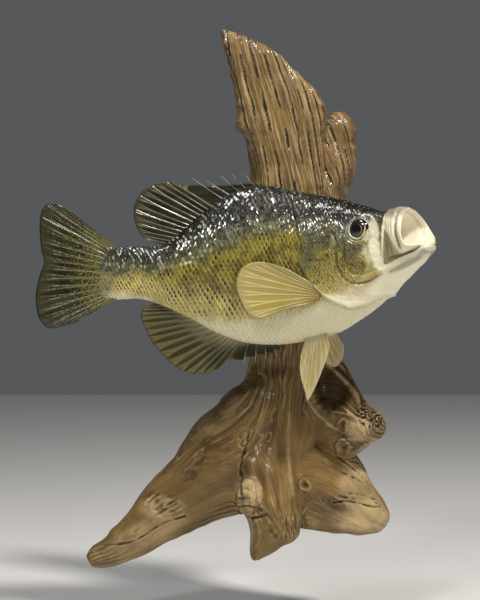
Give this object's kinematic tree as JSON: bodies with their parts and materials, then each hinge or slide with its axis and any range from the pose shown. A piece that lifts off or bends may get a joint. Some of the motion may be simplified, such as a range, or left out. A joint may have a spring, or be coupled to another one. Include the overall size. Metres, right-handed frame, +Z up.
{
  "type": "mounted crappie on driftwood",
  "caption": "Life-size mounted crappie with open jaws, bent along an upright driftwood piece that hangs on a wall.",
  "frame": {"origin": "middle of the sawn flat on the back of the driftwood, where it meets the wall", "axes": "+Y into the wall, +X toward the fish's head, +Z up"},
  "size_m": [0.3701, 0.1774, 0.5302],
  "materials": {
    "skin": "painted fish skin under clear gloss: slate back, olive-gold flank with dark flecks, ivory belly",
    "pale_skin": "ivory white under clear gloss",
    "glass_eye": "polished glass eye, black pupil, dark brown iris, thin gold ring",
    "dark_fin": "dark olive with pale broken rays, clear gloss",
    "pale_fin": "straw to cream with pale rays, satin gloss",
    "driftwood": "golden brown weathered grain under clear varnish"
  },
  "bodies": {
    "root": {"head": "skin", "gill_cover_right": "skin", "gill_cover_left": "skin", "upper_jaw": "pale_skin", "lower_jaw": "pale_skin", "trunk": "skin", "tail_stalk": "skin", "eye_right": "glass_eye", "eye_left": "glass_eye", "dorsal_fin": "dark_fin", "anal_fin": "dark_fin", "caudal_fin": "dark_fin", "pectoral_fin_right": "pale_fin", "pectoral_fin_left": "pale_fin", "pelvic_fin_right": "pale_fin", "pelvic_fin_left": "pale_fin", "driftwood": "driftwood"}
  },
  "joints": []
}
